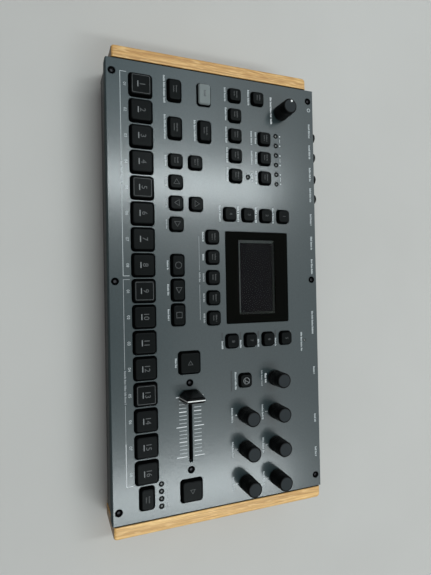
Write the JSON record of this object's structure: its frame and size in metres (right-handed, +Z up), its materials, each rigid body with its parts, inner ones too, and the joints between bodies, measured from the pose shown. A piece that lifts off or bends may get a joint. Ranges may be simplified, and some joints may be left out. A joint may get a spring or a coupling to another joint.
{
  "type": "audio sampler",
  "caption": "Desktop audio sampler: folded-steel case between wooden cheeks, with a row of step keys, a crossfader, rotary knobs, a small display and rear audio jacks.",
  "frame": {"origin": "on the table, under the middle of the bounding box", "axes": "+X to the player's right along the row of step keys, +Y to the rear where the jacks are, +Z up"},
  "size_m": [0.36, 0.184, 0.0628],
  "materials": {
    "panel_paint": "satin powder coat, dark slate grey",
    "case_black": "matte black powder coat",
    "wood": "oiled light wood, long grain",
    "screw_black": "black oxide",
    "foot_rubber": "matte",
    "board_green": "solder mask",
    "inner_plastic": "moulded",
    "inner_metal": "plain",
    "window_black": "gloss, dark tinted",
    "screen_dark": "gloss",
    "lamp_lens": "diffused",
    "socket_black": "moulded",
    "socket_metal": "bright",
    "knob_black": "moulded, satin",
    "fader_black": "moulded, semi-gloss",
    "key_black": "moulded, fine texture",
    "key_grey": "moulded, fine texture"
  },
  "bodies": {
    "case": {"top_panel": "panel_paint", "bottom_tray": "case_black", "rear_panel": "case_black", "left_cheek": "wood", "right_cheek": "wood", "cheek_screws": "screw_black", "panel_screws": "screw_black", "feet": "foot_rubber", "circuit_boards": "board_green", "key_switches": "inner_plastic", "encoders": "inner_metal", "fader_body": "inner_metal", "display_window": "window_black", "display_module": "screen_dark", "status_leds": "lamp_lens", "audio_jacks": "socket_black", "midi_sockets": "socket_black", "card_slot": "inner_metal", "usb_socket": "socket_metal", "dc_inlet": "socket_black"},
    "volume_knob": {"volume_knob": "knob_black"},
    "level_knob": {"level_knob": "knob_black"},
    "data_knob_a": {"data_knob_a": "knob_black"},
    "data_knob_b": {"data_knob_b": "knob_black"},
    "data_knob_c": {"data_knob_c": "knob_black"},
    "data_knob_d": {"data_knob_d": "knob_black"},
    "data_knob_e": {"data_knob_e": "knob_black"},
    "data_knob_f": {"data_knob_f": "knob_black"},
    "crossfader_cap": {"crossfader_cap": "fader_black"},
    "power_button": {"power_button": "knob_black"},
    "trig_key_01": {"trig_key_01": "key_black"},
    "trig_key_02": {"trig_key_02": "key_black"},
    "trig_key_03": {"trig_key_03": "key_black"},
    "trig_key_04": {"trig_key_04": "key_black"},
    "trig_key_05": {"trig_key_05": "key_black"},
    "trig_key_06": {"trig_key_06": "key_black"},
    "trig_key_07": {"trig_key_07": "key_black"},
    "trig_key_08": {"trig_key_08": "key_black"},
    "trig_key_09": {"trig_key_09": "key_black"},
    "trig_key_10": {"trig_key_10": "key_black"},
    "trig_key_11": {"trig_key_11": "key_black"},
    "trig_key_12": {"trig_key_12": "key_black"},
    "trig_key_13": {"trig_key_13": "key_black"},
    "trig_key_14": {"trig_key_14": "key_black"},
    "trig_key_15": {"trig_key_15": "key_black"},
    "trig_key_16": {"trig_key_16": "key_black"},
    "func_key": {"func_key": "key_grey"},
    "page_key": {"page_key": "key_black"},
    "fader_key_left": {"fader_key_left": "key_black"},
    "fader_key_right": {"fader_key_right": "key_black"},
    "record_key": {"record_key": "key_black"},
    "play_key": {"play_key": "key_black"},
    "stop_key": {"stop_key": "key_black"},
    "bank_keys": {"bank_keys": "key_black"},
    "cursor_keys": {"cursor_keys": "key_black"},
    "mode_keys": {"mode_keys": "key_black"},
    "recorder_keys": {"recorder_keys": "key_black"},
    "track_keys": {"track_keys": "key_black"},
    "param_keys": {"param_keys": "key_black"},
    "tempo_key": {"tempo_key": "key_black"}
  },
  "joints": [
    {"name": "crossfader_slide", "type": "slide", "parent": "case", "child": "crossfader_cap", "axis": [1, 0, 0], "range_m": [0, 0.0456]},
    {"name": "volume_knob_turn", "type": "hinge", "parent": "case", "child": "volume_knob", "pos_m": [-0.1464, 0.0519, 0.05], "axis": [0, 0, 1], "range_deg": [-222, 78]},
    {"name": "level_knob_turn", "type": "hinge", "parent": "case", "child": "level_knob", "pos_m": [0.074, 0.0412, 0.05], "axis": [0, 0, 1], "continuous": true},
    {"name": "data_knob_a_turn", "type": "hinge", "parent": "case", "child": "data_knob_a", "pos_m": [0.1012, 0.0412, 0.05], "axis": [0, 0, 1], "continuous": true},
    {"name": "data_knob_b_turn", "type": "hinge", "parent": "case", "child": "data_knob_b", "pos_m": [0.1283, 0.0412, 0.05], "axis": [0, 0, 1], "continuous": true},
    {"name": "data_knob_c_turn", "type": "hinge", "parent": "case", "child": "data_knob_c", "pos_m": [0.1554, 0.0412, 0.05], "axis": [0, 0, 1], "continuous": true},
    {"name": "data_knob_d_turn", "type": "hinge", "parent": "case", "child": "data_knob_d", "pos_m": [0.1012, 0.0139, 0.05], "axis": [0, 0, 1], "continuous": true},
    {"name": "data_knob_e_turn", "type": "hinge", "parent": "case", "child": "data_knob_e", "pos_m": [0.1283, 0.0139, 0.05], "axis": [0, 0, 1], "continuous": true},
    {"name": "data_knob_f_turn", "type": "hinge", "parent": "case", "child": "data_knob_f", "pos_m": [0.1554, 0.0139, 0.05], "axis": [0, 0, 1], "continuous": true},
    {"name": "power_button_press", "type": "slide", "parent": "case", "child": "power_button", "axis": [0, -1, 0], "range_m": [0, 0.0025], "stiffness_N_per_m": 500},
    {"name": "func_key_press", "type": "slide", "parent": "case", "child": "func_key", "axis": [0, 0, -1], "range_m": [0, 0.0015], "stiffness_N_per_m": 600},
    {"name": "page_key_press", "type": "slide", "parent": "case", "child": "page_key", "axis": [0, 0, -1], "range_m": [0, 0.0015], "stiffness_N_per_m": 600},
    {"name": "fader_key_left_press", "type": "slide", "parent": "case", "child": "fader_key_left", "axis": [0, 0, -1], "range_m": [0, 0.0015], "stiffness_N_per_m": 600},
    {"name": "fader_key_right_press", "type": "slide", "parent": "case", "child": "fader_key_right", "axis": [0, 0, -1], "range_m": [0, 0.0015], "stiffness_N_per_m": 600},
    {"name": "record_key_press", "type": "slide", "parent": "case", "child": "record_key", "axis": [0, 0, -1], "range_m": [0, 0.0015], "stiffness_N_per_m": 600},
    {"name": "play_key_press", "type": "slide", "parent": "case", "child": "play_key", "axis": [0, 0, -1], "range_m": [0, 0.0015], "stiffness_N_per_m": 600},
    {"name": "stop_key_press", "type": "slide", "parent": "case", "child": "stop_key", "axis": [0, 0, -1], "range_m": [0, 0.0015], "stiffness_N_per_m": 600},
    {"name": "bank_keys_press", "type": "slide", "parent": "case", "child": "bank_keys", "axis": [0, 0, -1], "range_m": [0, 0.0015], "stiffness_N_per_m": 600},
    {"name": "cursor_keys_press", "type": "slide", "parent": "case", "child": "cursor_keys", "axis": [0, 0, -1], "range_m": [0, 0.0015], "stiffness_N_per_m": 600},
    {"name": "mode_keys_press", "type": "slide", "parent": "case", "child": "mode_keys", "axis": [0, 0, -1], "range_m": [0, 0.0015], "stiffness_N_per_m": 600},
    {"name": "recorder_keys_press", "type": "slide", "parent": "case", "child": "recorder_keys", "axis": [0, 0, -1], "range_m": [0, 0.0015], "stiffness_N_per_m": 600},
    {"name": "track_keys_press", "type": "slide", "parent": "case", "child": "track_keys", "axis": [0, 0, -1], "range_m": [0, 0.0015], "stiffness_N_per_m": 600},
    {"name": "param_keys_press", "type": "slide", "parent": "case", "child": "param_keys", "axis": [0, 0, -1], "range_m": [0, 0.0015], "stiffness_N_per_m": 600},
    {"name": "tempo_key_press", "type": "slide", "parent": "case", "child": "tempo_key", "axis": [0, 0, -1], "range_m": [0, 0.0015], "stiffness_N_per_m": 600},
    {"name": "trig_key_01_press", "type": "slide", "parent": "case", "child": "trig_key_01", "axis": [0, 0, -1], "range_m": [0, 0.0015], "stiffness_N_per_m": 600},
    {"name": "trig_key_02_press", "type": "slide", "parent": "case", "child": "trig_key_02", "axis": [0, 0, -1], "range_m": [0, 0.0015], "stiffness_N_per_m": 600},
    {"name": "trig_key_03_press", "type": "slide", "parent": "case", "child": "trig_key_03", "axis": [0, 0, -1], "range_m": [0, 0.0015], "stiffness_N_per_m": 600},
    {"name": "trig_key_04_press", "type": "slide", "parent": "case", "child": "trig_key_04", "axis": [0, 0, -1], "range_m": [0, 0.0015], "stiffness_N_per_m": 600},
    {"name": "trig_key_05_press", "type": "slide", "parent": "case", "child": "trig_key_05", "axis": [0, 0, -1], "range_m": [0, 0.0015], "stiffness_N_per_m": 600},
    {"name": "trig_key_06_press", "type": "slide", "parent": "case", "child": "trig_key_06", "axis": [0, 0, -1], "range_m": [0, 0.0015], "stiffness_N_per_m": 600},
    {"name": "trig_key_07_press", "type": "slide", "parent": "case", "child": "trig_key_07", "axis": [0, 0, -1], "range_m": [0, 0.0015], "stiffness_N_per_m": 600},
    {"name": "trig_key_08_press", "type": "slide", "parent": "case", "child": "trig_key_08", "axis": [0, 0, -1], "range_m": [0, 0.0015], "stiffness_N_per_m": 600},
    {"name": "trig_key_09_press", "type": "slide", "parent": "case", "child": "trig_key_09", "axis": [0, 0, -1], "range_m": [0, 0.0015], "stiffness_N_per_m": 600},
    {"name": "trig_key_10_press", "type": "slide", "parent": "case", "child": "trig_key_10", "axis": [0, 0, -1], "range_m": [0, 0.0015], "stiffness_N_per_m": 600},
    {"name": "trig_key_11_press", "type": "slide", "parent": "case", "child": "trig_key_11", "axis": [0, 0, -1], "range_m": [0, 0.0015], "stiffness_N_per_m": 600},
    {"name": "trig_key_12_press", "type": "slide", "parent": "case", "child": "trig_key_12", "axis": [0, 0, -1], "range_m": [0, 0.0015], "stiffness_N_per_m": 600},
    {"name": "trig_key_13_press", "type": "slide", "parent": "case", "child": "trig_key_13", "axis": [0, 0, -1], "range_m": [0, 0.0015], "stiffness_N_per_m": 600},
    {"name": "trig_key_14_press", "type": "slide", "parent": "case", "child": "trig_key_14", "axis": [0, 0, -1], "range_m": [0, 0.0015], "stiffness_N_per_m": 600},
    {"name": "trig_key_15_press", "type": "slide", "parent": "case", "child": "trig_key_15", "axis": [0, 0, -1], "range_m": [0, 0.0015], "stiffness_N_per_m": 600},
    {"name": "trig_key_16_press", "type": "slide", "parent": "case", "child": "trig_key_16", "axis": [0, 0, -1], "range_m": [0, 0.0015], "stiffness_N_per_m": 600}
  ]
}
